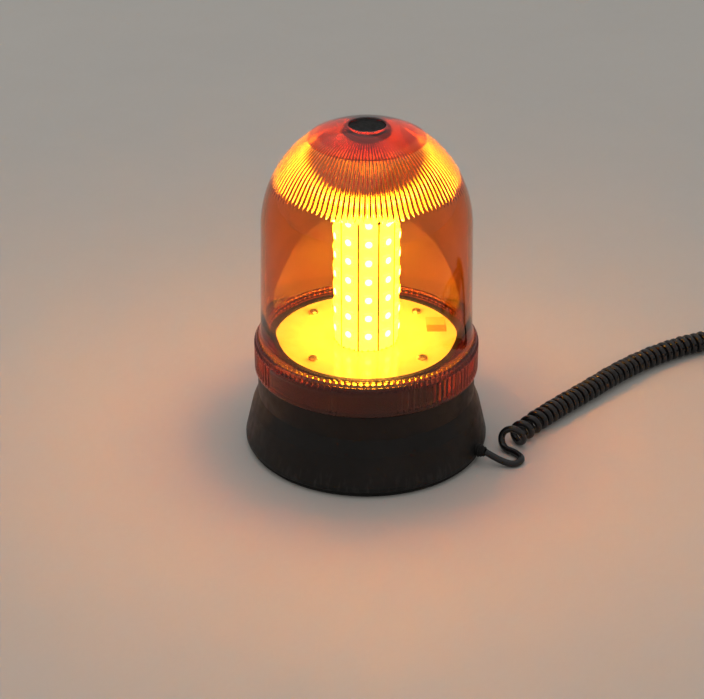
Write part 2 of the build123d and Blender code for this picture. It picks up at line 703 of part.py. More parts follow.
with BuildPart() as centre_contact:
    plug_turn(
        [
            (0, FUSE_END),
            (TIP_R, FUSE_END),
            (TIP_R, MOUTH_END - 3),
            (TIP_FLANGE_R, MOUTH_END - 3),
            (TIP_FLANGE_R, MOUTH_END),
            (TIP_R, MOUTH_END),
            (TIP_R, TIP_END - 2),
            (TIP_R - 1.4, TIP_END),
            (0, TIP_END),
        ]
    )
save(centre_contact, "centre_contact")

with BuildPart() as nose_cap:
    plug_turn(
        [
            (MOUTH_R + RUN_CLEARANCE, BARREL_END + 0.1),
            (NOSE_R, BARREL_END + 0.1),
            (NOSE_R, NOSE_END - 2),
            (NOSE_R - 2, NOSE_END),
            (TIP_R + RUN_CLEARANCE, NOSE_END),
            (TIP_R + RUN_CLEARANCE, MOUTH_END + 0.1),
            (MOUTH_R + RUN_CLEARANCE, MOUTH_END + 0.1),
        ]
    )
save(nose_cap, "nose_cap")

contact_low, contact_high = CONTACT_SLOT
contact_line = [
    (PLUG_BORE_R - 1.0, contact_low - 3),
    (PLUG_BORE_R - 1.0, contact_low + 1.5),
    (CONTACT_REACH - CONTACT_T, contact_low + 8),
    (CONTACT_REACH - CONTACT_T, contact_high - 8),
    (PLUG_BORE_R - 1.0, contact_high - 1.5),
    (PLUG_BORE_R - 1.0, contact_high + 2.5),
]
for side, name in ((-1, "side_contact_left"), (1, "side_contact_right")):
    inner_line = [(PLUG_X + side * reach, along) for reach, along in contact_line]
    outer_line = [(x + side * CONTACT_T, along) for x, along in inner_line]
    with BuildPart() as side_contact:
        with BuildSketch(Plane.XY.offset(PLUG_Z - CONTACT_W / 2)):
            Polygon(*inner_line, *reversed(outer_line), align=None)
        extrude(amount=CONTACT_W)
    save(side_contact, name)
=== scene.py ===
import math

import bmesh
import bpy
from mathutils import Matrix, Vector


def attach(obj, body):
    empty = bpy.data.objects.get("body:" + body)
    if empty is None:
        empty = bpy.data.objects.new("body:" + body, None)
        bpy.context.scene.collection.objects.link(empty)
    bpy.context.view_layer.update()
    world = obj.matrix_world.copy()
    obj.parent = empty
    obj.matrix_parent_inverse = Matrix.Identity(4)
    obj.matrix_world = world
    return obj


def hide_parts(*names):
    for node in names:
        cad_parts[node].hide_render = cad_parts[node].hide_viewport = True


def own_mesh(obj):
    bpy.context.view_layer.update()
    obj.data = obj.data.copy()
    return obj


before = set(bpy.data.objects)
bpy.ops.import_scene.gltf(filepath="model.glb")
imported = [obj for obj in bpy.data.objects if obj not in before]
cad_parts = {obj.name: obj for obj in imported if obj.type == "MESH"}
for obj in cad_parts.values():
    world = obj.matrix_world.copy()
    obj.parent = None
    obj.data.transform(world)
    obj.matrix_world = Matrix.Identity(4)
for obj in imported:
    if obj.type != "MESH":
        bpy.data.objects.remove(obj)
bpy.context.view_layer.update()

# Amber warning beacon, lit, with its curly supply lead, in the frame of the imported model.
# Sizes and shapes below are in millimetres, and MM turns them into Blender's metres.

MM = 0.001

# ---- sizes repeated from the part's source, in millimetres ----
LENS_RIM_R, LENS_RIM_Z, LENS_RIM_TOP_Z = 64.1, 47.9, 64.5
LENS_BORE_R = 60.6
LENS_WALL = 2.4
LENS_LOW = (60.3, 71.0)  # radius and height of the foot of the plain wall
LENS_HIGH = (58.9, 135.0)  # where the shoulder arc starts
SHOULDER_R = 63.7
CAP_R, CAP_Z = 32.4, 187.2  # raised round cap on the dome
TOP_Z = 194.4
RECESS_R, RECESS_Z = 10.2, 189.9
BOSS_R, BOSS_Z = 5.2, 160.3
LENS_HOLE_R = 2.3
BOARD_TOP_Z = 65.5
STRIP_COUNT, STRIP_FACE_R = 10, 17.45
COLUMN_TURN = 3.0  # degrees that the column stands turned from square
LED_ROWS, LED_PITCH, LED_LOW_Z = 8, 11.24, 75.3
LED_SIZE, LED_H, LED_DOME_R, LED_DOME_H = 5.0, 1.4, 1.9, 0.3
LABEL_SPLIT_Y = 14.5  # where the label changes tone
GLAND_AZIMUTH, GLAND_Z = -25.0, 7.5
GLAND_FLANGE_R, GLAND_R, GLAND_TIP_R = 3.9, 3.0, 75.0
PLUG_X, PLUG_Z = 246.0, 12.0  # the plug's axis, which runs along Y
STRAIN_L, STRAIN_ROOT_R, STRAIN_NECK_R = 24.0, 5.2, 3.1
SPRING_START, SPRING_END = 37.0, 43.0
SPRING_R, SPRING_WIRE_R, SPRING_TURNS = 2.2, 0.35, 4
PLUG_NODES = [
    "plug_shell_lower",
    "plug_shell_upper",
    "plug_screws",
    "plug_board",
    "mode_button",
    "fuse",
    "centre_contact",
    "nose_cap",
    "side_contact_left",
    "side_contact_right",
]

# ---- the supply lead's route, in millimetres: the part's, with smoother bends at the curl's two ends ----
CORD_D = 4.0
LIE_Z = 2.1  # height of the lead's middle where it lies on the floor
LEAD_POINTS = [
    (68.0, -31.7, 7.5),
    (74.0, -34.2, 4.6),
    (82.0, -36.5, LIE_Z),
    (86.5, -35.2, LIE_Z),
    (89.4, -30.6, LIE_Z),
    (87.3, -25.5, LIE_Z),
    (84.2, -22.1, LIE_Z),
]
CURL_POINTS = [
    (77.5, -26.0, 6.5),
    (92.0, -4.5, 6.5),
    (111.5, 18.5, 6.5),
    (133.5, 41.0, 6.5),
    (155.0, 65.0, 6.5),
    (180.0, 87.0, 6.5),
    (210.0, 105.5, 6.5),
    (241.0, 112.5, 6.5),
    (266.0, 106.5, 6.5),
    (284.0, 89.5, 6.5),
    (292.0, 66.0, 6.5),
]
TAIL_TURN = [(2.4, 0.4), (5.1, -0.7), (7.2, -4.2), (8.0, -10.2)]  # X and Y, from the curl's last point
TAIL_POINTS = [
    (298.0, 40.0, LIE_Z),
    (299.0, 12.0, LIE_Z),
    (296.0, -17.0, LIE_Z),
    (286.0, -41.0, LIE_Z),
    (267.0, -54.5, 2.2),
    (250.5, -48.5, 4.6),
    (246.0, -35.5, 9.0),
    (246.0, -24.0, 12.0),
    (246.0, -16.0, 12.0),
]
CURL_RADIUS = 4.5
CURL_STEPS = 14  # control points in a turn
CURL_PITCH = 5.05
FIRST_PITCHES = [12.1, 8.7, 7.8, 6.3]  # of the first, pulled turns
FIRST_GROWTH, GROWTH_TURNS = 1.6, 0.8  # the first turn is wider by this, which fades over so many turns
CURL_START, CURL_STOP = 7.0, 4.0  # distances left free at the two ends of the curl's own line

# ---- sizes of the visual detail, in millimetres ----
RIB_COUNT, RIB_STEPS = 108, 10  # ribs round the lens, and corners in each
RIB_EDGE = 86.0  # slope, in degrees, where two half-round ribs meet
CROWN_RIB_Z = 162.3  # the crown's inner ribs end here
SLOPE_RIB_DEPTH = 1.1
COLLAR_RIB_DEPTH, COLLAR_RIBS_Z = 0.75, (50.3, 63.0)
COLLAR_EDGE_DEPTH = 0.15  # what is left of the ribs above and below
WINDOW_TURN = 15  # half the width, in degrees, of the rim's plain window in front
PANEL_TURNS = (-58, -20)  # from the front, in degrees
PLAIN_DEPTH, PLAIN_Z = 0.3, (50.5, 61.5)  # of the window and the panel
RIM_BEVEL = 0.9
BOOT_BORE_R, SHANK_BORE_R = 1.9, 0.4  # of the rubber boots

# ---- camera, light and glow ----
CAMERA_PLACE = (-8.2, -991.7, 583.9)
CAMERA_DROP = 27.99  # degrees that it looks down
CAMERA_LENS, CAMERA_SENSOR = 100.2, 36.0
LIGHT_PLACE, LIGHT_SIZE, LIGHT_POWER = (-0.5, 0.3, 2.6), 4.0, 14  # metres and watts
ROOM_LIGHT = 0.38
LED_GLOW = 320.0
STRIP_GLOW = 18.0  # of the strips and of the LEDs' cases, which stands for the bloom round each LED
STRIP_FRONT = (0.9585, 0.9645)  # cosines of face against way out, where a strip's glow starts and is full
DYE_DENSITY = 560.0


# ---- camera ----


def add_camera():
    """In front of the beacon, a little over a metre away, and looking down on it."""
    data = bpy.data.cameras.new("camera")
    data.sensor_width = CAMERA_SENSOR
    data.lens = CAMERA_LENS
    camera = bpy.data.objects.new("camera", data)
    camera.location = Vector(CAMERA_PLACE) * MM
    camera.rotation_euler = (math.radians(90 - CAMERA_DROP), 0, 0)
    bpy.context.scene.collection.objects.link(camera)
    bpy.context.scene.camera = camera


# ---- materials ----


class Tree:
    """The node tree of one new material."""

    def __init__(self, name):
        self.material = bpy.data.materials.new(name)
        self.material.use_nodes = True
        self.nodes = self.material.node_tree.nodes
        self.links = self.material.node_tree.links
        self.shader = self.nodes["Principled BSDF"]
        self.place = self.nodes.new("ShaderNodeTexCoord").outputs["Object"]

    def stretched(self, scale):
        """The place, stretched along the axes."""
        node = self.nodes.new("ShaderNodeMapping")
        node.inputs["Scale"].default_value = scale
        self.links.new(self.place, node.inputs["Vector"])
        return node.outputs["Vector"]

    def noise(self, size, detail=4.0, place=None):
        """Noise from 0 to 1 whose patches are about size millimetres wide."""
        node = self.nodes.new("ShaderNodeTexNoise")
        node.inputs["Scale"].default_value = 1 / (size * MM)
        node.inputs["Detail"].default_value = detail
        self.links.new(place or self.place, node.inputs["Vector"])
        return node.outputs["Fac"]

    def span(self, value, low, high, start=0.3, end=0.7):
        """value, moved from start..end to low..high and held there."""
        node = self.nodes.new("ShaderNodeMapRange")
        node.inputs["From Min"].default_value = start
        node.inputs["From Max"].default_value = end
        node.inputs["To Min"].default_value = low
        node.inputs["To Max"].default_value = high
        self.links.new(value, node.inputs["Value"])
        return node.outputs["Result"]

    def combine(self, first, second, operation="ADD"):
        """Two values, added or put through another operation."""
        node = self.nodes.new("ShaderNodeMath")
        node.operation = operation
        self.links.new(first, node.inputs[0])
        self.links.new(second, node.inputs[1])
        return node.outputs["Value"]

    def blend(self, share, first, second):
        """A colour between two colours; each is three numbers or a socket."""
        node = self.nodes.new("ShaderNodeMix")
        node.data_type = "RGBA"
        self.links.new(share, node.inputs["Factor"])
        for name, colour in (("A", first), ("B", second)):
            socket = next(s for s in node.inputs if s.name == name and s.type == "RGBA")
            if isinstance(colour, tuple):
                socket.default_value = (*colour, 1.0)
            else:
                self.links.new(colour, socket)
        return next(s for s in node.outputs if s.type == "RGBA")

    def height(self, axis):
        """One coordinate of the place."""
        node = self.nodes.new("ShaderNodeSeparateXYZ")
        self.links.new(self.place, node.inputs["Vector"])
        return node.outputs[axis]

    def bump(self, value, depth):
        """Raises the surface by value times depth millimetres."""
        node = self.nodes.new("ShaderNodeBump")
        node.inputs["Distance"].default_value = depth * MM
        self.links.new(value, node.inputs["Height"])
        self.links.new(node.outputs["Normal"], self.shader.inputs["Normal"])

    def feed(self, name, socket):
        """Feeds a worked-out value to a socket of the shader."""
        self.links.new(socket, self.shader.inputs[name])

    def fix(self, **values):
        """Plain values on the shader's own sockets; an underscore stands for a space."""
        for name, value in values.items():
            socket = self.shader.inputs[name.replace("_", " ")]
            socket.default_value = (*value, 1.0) if isinstance(value, tuple) else value


def moulded(name, dark, light, patch, gloss, grain, depth, stretch=(1, 1, 1), **values):
    """A finish with drifting tone, uneven gloss and a fine grain.

    patch and grain are widths and depth is a height, all in millimetres, and gloss is a range of roughness.
    """
    tree = Tree(name)
    tone = tree.noise(patch)
    tree.feed("Base Color", tree.blend(tree.span(tone, 0.0, 1.0), dark, light))
    tree.feed("Roughness", tree.span(tree.noise(patch * 0.3), *gloss))
    tree.bump(tree.noise(grain, 2.0, tree.stretched(stretch)), depth)
    tree.fix(**values)
    return tree.material


def housing_plastic():
    """Black ABS with a fine spark texture, dusty scuffs near the foot and a satin sheen."""
    tree = Tree("black_abs")
    drift = tree.span(tree.noise(22), 0, 1)
    dark_tone = tree.blend(drift, (0.006, 0.0058, 0.0055), (0.011, 0.0105, 0.010))
    low_down = tree.span(tree.height("Z"), 1.0, 0.0, 2 * MM, 16 * MM)
    streaks = tree.noise(2.6, 6.0, tree.stretched((1, 1, 0.25)))
    scuffed = tree.combine(tree.span(streaks, 0.0, 1.0, 0.52, 0.72), low_down, "MULTIPLY")
    tree.feed("Base Color", tree.blend(scuffed, dark_tone, (0.035, 0.033, 0.03)))
    tree.feed("Roughness", tree.span(tree.noise(6), 0.36, 0.52))
    tree.bump(tree.noise(0.55, 3.0), 0.035)
    tree.fix(Specular_IOR_Level=0.25)
    return tree.material


def board_mask():
    """Glossy white solder mask over the round board, with faint traces and flux haze."""
    tree = Tree("white_board")
    haze = tree.span(tree.noise(9), 0.0, 1.0, 0.4, 0.75)
    tone = tree.blend(haze, (0.88, 0.88, 0.85), (0.80, 0.79, 0.74))
    tree.feed("Base Color", tone)
    tree.feed("Roughness", tree.span(tree.noise(14), 0.10, 0.20))
    tree.bump(tree.noise(2.4, 2.0), 0.012)
    tree.fix(Coat_Weight=0.3, Coat_Roughness=0.08)
    return tree.material


def strip_mask():
    """The strips: white solder mask with a painted glow, standing for the LEDs' bloom, up to just short of
    its edges, and dark sides and backs.
    """
    tree = Tree("strip_board")
    drift = tree.span(tree.noise(5), 0, 1)
    mask_tone = tree.blend(drift, (0.80, 0.78, 0.70), (0.88, 0.87, 0.82))
    tree.feed("Roughness", tree.span(tree.noise(1.5), 0.15, 0.28))
    tree.bump(tree.noise(1.2, 2.0), 0.01)
    normal = tree.nodes.new("ShaderNodeNewGeometry").outputs["Normal"]
    outwards = tree.nodes.new("ShaderNodeVectorMath")
    outwards.operation = "NORMALIZE"
    tree.links.new(tree.stretched((1, 1, 0)), outwards.inputs[0])
    facing = tree.nodes.new("ShaderNodeVectorMath")
    facing.operation = "DOT_PRODUCT"
    tree.links.new(outwards.outputs["Vector"], facing.inputs[0])
    tree.links.new(normal, facing.inputs[1])
    # The strip's glow is painted light, the bloom round its LEDs; the board itself is no lamp.
    glow = tree.span(facing.outputs["Value"], 0.0, STRIP_GLOW, *STRIP_FRONT)
    tree.feed("Emission Strength", glow)
    front = tree.span(facing.outputs["Value"], 0.0, 1.0, 0.7, 0.8)
    tree.feed("Base Color", tree.blend(front, (0.02, 0.016, 0.01), mask_tone))
    tree.fix(Emission_Color=(1.0, 0.92, 0.09), Coat_Weight=0.25, Coat_Roughness=0.12)
    return tree.material


def label_paper():
    """A blank sticker: a pale rear half and an orange front half on rough paper."""
    tree = Tree("label_paper")
    edge = tree.combine(tree.height("Y"), tree.span(tree.noise(1.5), -0.2 * MM, 0.2 * MM))
    rear = tree.span(edge, 0.0, 1.0, (LABEL_SPLIT_Y - 0.1) * MM, (LABEL_SPLIT_Y + 0.1) * MM)
    front_tone = tree.blend(tree.span(tree.noise(2), 0, 1), (0.62, 0.20, 0.05), (0.72, 0.28, 0.07))
    tree.feed("Base Color", tree.blend(rear, front_tone, (0.38, 0.50, 0.25)))
    tree.feed("Roughness", tree.span(tree.noise(3), 0.55, 0.75))
    tree.bump(tree.noise(0.25, 3.0), 0.02)
    return tree.material


def plug_plastic():
    """Black moulded plastic with finger ribs round the grip."""
    tree = Tree("plug_plastic")
    tone = tree.span(tree.noise(9), 0, 1)
    tree.feed("Base Color", tree.blend(tone, (0.012, 0.012, 0.012), (0.024, 0.023, 0.022)))
    tree.feed("Roughness", tree.span(tree.noise(2.5), 0.34, 0.52))
    ribs = tree.nodes.new("ShaderNodeTexWave")
    ribs.bands_direction = "Y"
    start, end, pitch = 5, 18, 2.6
    ribs.inputs["Scale"].default_value = 0.3 / (pitch * MM)
    tree.links.new(tree.place, ribs.inputs["Vector"])
    along = tree.height("Y")
    starts = tree.span(along, 0.0, 1.0, start * MM, (start + 1) * MM)
    ends = tree.span(along, 1.0, 0.0, (end - 1) * MM, end * MM)
    grip = tree.combine(tree.combine(starts, ends, "MULTIPLY"), ribs.outputs["Fac"], "MULTIPLY")
    texture = tree.span(tree.noise(0.5, 2.0), 0.0, 0.05, 0.0, 1.0)
    tree.bump(tree.combine(grip, texture), 0.55)
    return tree.material


def amber_plastic():
    """Clear amber polycarbonate: deeper where light's way through it is longer; the cap's deeper red is
    partly its own tint and partly painted shade, and the rim's darker red is painted shade.
    """
    tree = Tree("amber_lens")
    height = tree.height("Z")
    # Above the ring line the cap is a deeper red: partly the plastic's own tint, partly painted shade.
    cap_tint_and_shade = tree.span(height, 0.0, 1.0, (CAP_Z - 0.6) * MM, CAP_Z * MM)
    # Round the rim the colour is a darker red, which is painted shade.
    rim_painted_shade = tree.span(height, 1.0, 0.0, (LENS_RIM_TOP_Z - 0.3) * MM, (LENS_RIM_TOP_Z + 0.3) * MM)
    above_rim = tree.blend(cap_tint_and_shade, (1.0, 0.62, 0.32), (0.62, 0.08, 0.05))
    tree.feed("Base Color", tree.blend(rim_painted_shade, above_rim, (0.8, 0.22, 0.14)))
    tree.feed("Roughness", tree.span(tree.noise(16), 0.012, 0.035))
    tree.bump(tree.noise(7, 1.0), 0.006)
    tree.fix(Transmission_Weight=1.0, IOR=1.5)
    # To a shadow ray the lens is a plain filter, so the lights reach through it without caustics.
    clear = tree.nodes.new("ShaderNodeBsdfTransparent")
    clear.inputs["Color"].default_value = (1.0, 0.72, 0.50, 1.0)
    path = tree.nodes.new("ShaderNodeLightPath")
    either = tree.nodes.new("ShaderNodeMixShader")
    out = tree.nodes["Material Output"]
    tree.links.new(path.outputs["Is Shadow Ray"], either.inputs[0])
    tree.links.new(tree.shader.outputs[0], either.inputs[1])
    tree.links.new(clear.outputs[0], either.inputs[2])
    tree.links.new(either.outputs[0], out.inputs["Surface"])
    dye = tree.nodes.new("ShaderNodeVolumeAbsorption")
    dye.inputs["Color"].default_value = (0.985, 0.74, 0.0, 1.0)
    dye.inputs["Density"].default_value = DYE_DENSITY
    tree.links.new(dye.outputs[0], out.inputs["Volume"])
    return tree.material


def glowing(name, colour, strength):
    """A lit surface with a slightly uneven glow."""
    tree = Tree(name)
    tree.feed("Emission Strength", tree.span(tree.noise(1.2), 0.9 * strength, 1.1 * strength))
    tree.feed("Roughness", tree.span(tree.noise(0.8), 0.25, 0.4))
    tree.bump(tree.noise(0.5), 0.01)
    tree.fix(Base_Color=(1.0, 0.83, 0.32), Emission_Color=colour)
    return tree.material


def make_materials():
    """One material for each material slot of the record, and those of the added detail."""
    metal = dict(Metallic=1.0)
    glossy = dict(Coat_Weight=0.25, Coat_Roughness=0.12)
    return {
        "black_abs": housing_plastic(),
        "black_rubber": moulded(
            "black_rubber",
            (0.006, 0.006, 0.006),
            (0.014, 0.013, 0.012),
            7,
            (0.55, 0.75),
            0.35,
            0.03,
            Specular_IOR_Level=0.22,
        ),
        "zinc_steel": moulded(
            "zinc_steel", (0.52, 0.52, 0.50), (0.68, 0.67, 0.64), 3, (0.22, 0.38), 0.3, 0.006, **metal
        ),
        "plated_cup": moulded(
            "plated_cup",
            (0.44, 0.44, 0.43),
            (0.58, 0.57, 0.55),
            16,
            (0.2, 0.4),
            0.6,
            0.01,
            (1, 9, 9),
            **metal,
        ),
        "ferrite": moulded(
            "ferrite", (0.045, 0.045, 0.05), (0.09, 0.088, 0.09), 6, (0.6, 0.85), 0.6, 0.05
        ),
        "white_board": board_mask(),
        "strip_board": strip_mask(),
        "led_amber": glowing("led_amber", (1.0, 0.97, 0.9), LED_GLOW),
        "label_paper": label_paper(),
        "green_board": moulded(
            "green_board", (0.02, 0.13, 0.05), (0.05, 0.22, 0.09), 4, (0.2, 0.35), 1.0, 0.02, **glossy
        ),
        "nylon": moulded("nylon", (0.70, 0.68, 0.62), (0.82, 0.81, 0.76), 3, (0.35, 0.55), 0.4, 0.01),
        "capacitor_sleeve": moulded(
            "capacitor_sleeve", (0.02, 0.02, 0.05), (0.05, 0.05, 0.10), 8, (0.15, 0.3), 1.5, 0.01, **glossy
        ),
        "copper_wire": moulded(
            "copper_wire",
            (0.60, 0.24, 0.10),
            (0.80, 0.38, 0.18),
            2,
            (0.2, 0.4),
            0.6,
            0.12,
            (1, 1, 6),
            **metal,
        ),
        "chip_black": moulded(
            "chip_black", (0.015, 0.015, 0.015), (0.035, 0.035, 0.035), 2, (0.45, 0.65), 0.2, 0.01
        ),
        "wire_insulation": moulded(
            "wire_insulation", (0.38, 0.02, 0.02), (0.55, 0.05, 0.04), 5, (0.3, 0.45), 0.6, 0.01
        ),
        "amber_lens": amber_plastic(),
        "cord_jacket": moulded(
            "cord_jacket", (0.006, 0.006, 0.007), (0.012, 0.012, 0.013), 5, (0.13, 0.21), 1.4, 0.006
        ),
        "plug_plastic": plug_plastic(),
        "button_red": moulded(
            "button_red", (0.42, 0.01, 0.01), (0.62, 0.03, 0.02), 3, (0.3, 0.45), 0.4, 0.01
        ),
        "fuse_glass": moulded(
            "fuse_glass", (0.72, 0.74, 0.73), (0.80, 0.82, 0.82), 3, (0.05, 0.12), 1.0, 0.005
        ),
        "nickel": moulded(
            "nickel", (0.60, 0.58, 0.54), (0.74, 0.72, 0.68), 4, (0.14, 0.3), 0.5, 0.008, (1, 8, 1), **metal
        ),
        # The LEDs' cases glow as painted bloom; only the windows are lamps.
        "led_package": glowing("led_package", (1.0, 0.92, 0.12), STRIP_GLOW),
        "solder": moulded(
            "solder", (0.55, 0.55, 0.54), (0.7, 0.7, 0.69), 0.8, (0.25, 0.45), 0.4, 0.03, **metal
        ),
    }


# ---- shapes as lists of corners and faces, in millimetres ----


def lathe(outline, steps=48):
    """A closed outline of (radius, height) corners turned about Z."""
    corners = []
    for step in range(steps):
        angle = 2 * math.pi * step / steps
        corners += [(radius * math.cos(angle), radius * math.sin(angle), z) for radius, z in outline]
    return corners, ring_faces(steps, len(outline))


def ring_faces(steps, count):
    """Quads between neighbouring copies of a closed outline of count corners."""
    faces = []
    for step in range(steps):
        here, there = step * count, (step + 1) % steps * count
        for corner in range(count):
            after = (corner + 1) % count
            faces.append((here + corner, there + corner, there + after, here + after))
    return faces


def block(width, depth, height, edge):
    """A box with rounded edges that stands on Z = 0."""
    shape = bmesh.new()
    size = Matrix.Diagonal((width, depth, height, 1))
    bmesh.ops.create_cube(shape, size=1.0, matrix=Matrix.Translation((0, 0, height / 2)) @ size)
    bmesh.ops.bevel(shape, geom=shape.edges[:], offset=edge, segments=2, affect="EDGES", profile=0.5)
    shape.verts.index_update()
    corners = [tuple(vertex.co) for vertex in shape.verts]
    faces = [tuple(vertex.index for vertex in face.verts) for face in shape.faces]
    shape.free()
    return corners, faces


def dome(radius, height, rings=5, steps=28):
    """A shallow round cap with a flat underside, its rim on Z = 0."""
    corners = [(0, 0, height)]
    for ring in range(1, rings + 1):
        turn = math.pi / 2 * ring / rings
        corners += [
            (
                radius * math.sin(turn) * math.cos(2 * math.pi * step / steps),
                radius * math.sin(turn) * math.sin(2 * math.pi * step / steps),
                height * math.cos(turn),
            )
            for step in range(steps)
        ]
    faces = [(0, 1 + step, 1 + (step + 1) % steps) for step in range(steps)]
    for ring in range(rings - 1):
        first = 1 + ring * steps
        for step in range(steps):
            after = (step + 1) % steps
            faces.append((first + step, first + steps + step, first + steps + after, first + after))
    faces.append(tuple(reversed(range(1 + (rings - 1) * steps, 1 + rings * steps))))
    return corners, faces


def wire_coil(radius, wire_r, length, turns, steps=24, sides=10):
    """A round wire wound about Z with open turns, from Z = 0 to its length."""
    corners = []
    for step in range(turns * steps + 1):
        angle = 2 * math.pi * step / steps
        middle_z = wire_r + (length - 2 * wire_r) * step / (turns * steps)
        for side in range(sides):
            turn = 2 * math.pi * side / sides
            reach = radius + wire_r * math.cos(turn)
            z = middle_z + wire_r * math.sin(turn)
            corners.append((reach * math.cos(angle), reach * math.sin(angle), z))
    faces = []
    for step in range(turns * steps):
        here, there = step * sides, (step + 1) * sides
        for side in range(sides):
            after = (side + 1) % sides
            faces.append((here + side, there + side, there + after, here + after))
    faces += [tuple(range(sides)), tuple(reversed(range(len(corners) - sides, len(corners))))]
    return corners, faces


def piece(name, shapes, looks, body, crease=38.0):
    """One object from (shape, placing matrix, number in looks) triples, riding on a body.

    looks are names of materials.
    """
    corners, faces, numbers = [], [], []
    for (shape_corners, shape_faces), matrix, number in shapes:
        first = len(corners)
        corners += [matrix @ Vector(corner) * MM for corner in shape_corners]
        faces += [tuple(first + index for index in face) for face in shape_faces]
        numbers += [number] * len(shape_faces)
    mesh = bpy.data.meshes.new(name)
    mesh.from_pydata(corners, [], faces)
    mesh.polygons.foreach_set("material_index", numbers)
    mesh.polygons.foreach_set("use_smooth", [True] * len(faces))
    mesh.set_sharp_from_angle(angle=math.radians(crease))
    mesh.update()
    made = bpy.data.objects.new(name, mesh)
    for look in looks:
        mesh.materials.append(materials[look])
    bpy.context.scene.collection.objects.link(made)
    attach(made, body)
    return made


# ---- supply lead ----


def nurbs(name, points, width):
    """A curve object of one smooth open NURBS spline, drawn by its control points."""
    data = bpy.data.curves.new(name, "CURVE")
    data.dimensions = "3D"
    spline = data.splines.new("NURBS")
    spline.points.add(len(points) - 1)
    for control, point in zip(spline.points, points):
        control.co = (*(Vector(point) * MM), 1.0)
    spline.order_u = 3
    spline.use_endpoint_u = True
    spline.resolution_u = 4
    data.bevel_depth = width / 2 * MM
    data.bevel_resolution = 3
    data.use_fill_caps = width > 0
    made = bpy.data.objects.new(name, data)
    bpy.context.scene.collection.objects.link(made)
    return made


def line_of(points):
    """The points, in millimetres, of the smooth line that a route's NURBS spline gives."""
    guide = nurbs("guide", points, 0)
    guide.data.splines[0].resolution_u = 24
    mesh = bpy.data.meshes.new_from_object(guide)
    line = [vertex.co / MM for vertex in mesh.vertices]
    bpy.data.objects.remove(guide)
    bpy.data.meshes.remove(mesh)
    return line


def along_line(line, distance):
    """The point at a distance along a line, and the direction there."""
    for before, after in zip(line, line[1:]):
        run = after - before
        if distance <= run.length:
            return before + run.normalized() * distance, run.normalized()
        distance -= run.length
    return line[-1], (line[-1] - line[-2]).normalized()


def curl_points():
    """Control points of the curl: a helix that lies on the floor, its first turns wider and looser."""
    line = line_of(CURL_POINTS)
    length = sum((after - before).length for before, after in zip(line, line[1:]))
    shrink = math.cos(math.pi / CURL_STEPS)  # the spline runs inside its control points by this share
    points, distance, angle, turns = [], CURL_START, math.radians(-90), 0.0
    # Pitch and radius wander a little from turn to turn. It ends at the foot of a turn, on the floor.
    while distance < length - CURL_STOP or math.sin(angle) > -0.9 or math.cos(angle) > 0:
        pitch = CURL_PITCH * (1 + 0.035 * math.sin(1.7 * turns) + 0.02 * math.sin(0.6 * turns))
        if turns < len(FIRST_PITCHES):
            pitch = FIRST_PITCHES[int(turns)]
        radius = CURL_RADIUS + FIRST_GROWTH * math.exp(-turns / GROWTH_TURNS)
        radius += 0.08 * math.sin(2.3 * turns)
        middle, ahead = along_line(line, distance)
        side = Vector((ahead.y, -ahead.x, 0)).normalized()
        middle.z = CORD_D / 2 + 0.1 + radius
        reach = radius / shrink
        points.append(middle + side * reach * math.cos(angle) + Vector((0, 0, reach * math.sin(angle))))
        distance += pitch / CURL_STEPS
        angle -= 2 * math.pi / CURL_STEPS
        turns += 1 / CURL_STEPS
    for point in points:
        point.z = max(point.z, CORD_D / 2 + 0.05)
    return points


def add_cord(plug_pieces):
    """The whole lead from the gland to the plug: straight lead, curl and tail in one spline."""
    curl = curl_points()
    tail_turn = [(curl[-1].x + x, curl[-1].y + y, LIE_Z) for x, y in TAIL_TURN]
    cord = nurbs("supply_cord", LEAD_POINTS + curl + tail_turn + TAIL_POINTS, CORD_D)
    cord.data.materials.append(materials["cord_jacket"])
    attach(cord, "base")
    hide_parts("cord_lead", "cord_curly", "cord_tail")


def grooved(start, end, root_r, tip_r, bore_r, grooves, cut):
    """The (radius, height) outline of a tapered sleeve, with ring grooves that are cut deep."""
    outline = [(bore_r, start), (root_r - 0.3, start), (root_r, start + 0.4)]
    pitch = (end - start) / (grooves + 0.5)
    for groove in range(grooves):
        # shares of the pitch at which the groove starts, reaches its floor, leaves it and ends
        for part, lower in ((0.42, 0), (0.52, cut), (0.85, cut), (0.95, 0)):
            share = (groove + part) / (grooves + 0.5)
            outline.append((root_r + (tip_r - root_r) * share - lower, start + pitch * (groove + part)))
    return outline + [(tip_r, end - 0.4), (tip_r - 0.3, end), (bore_r, end)]


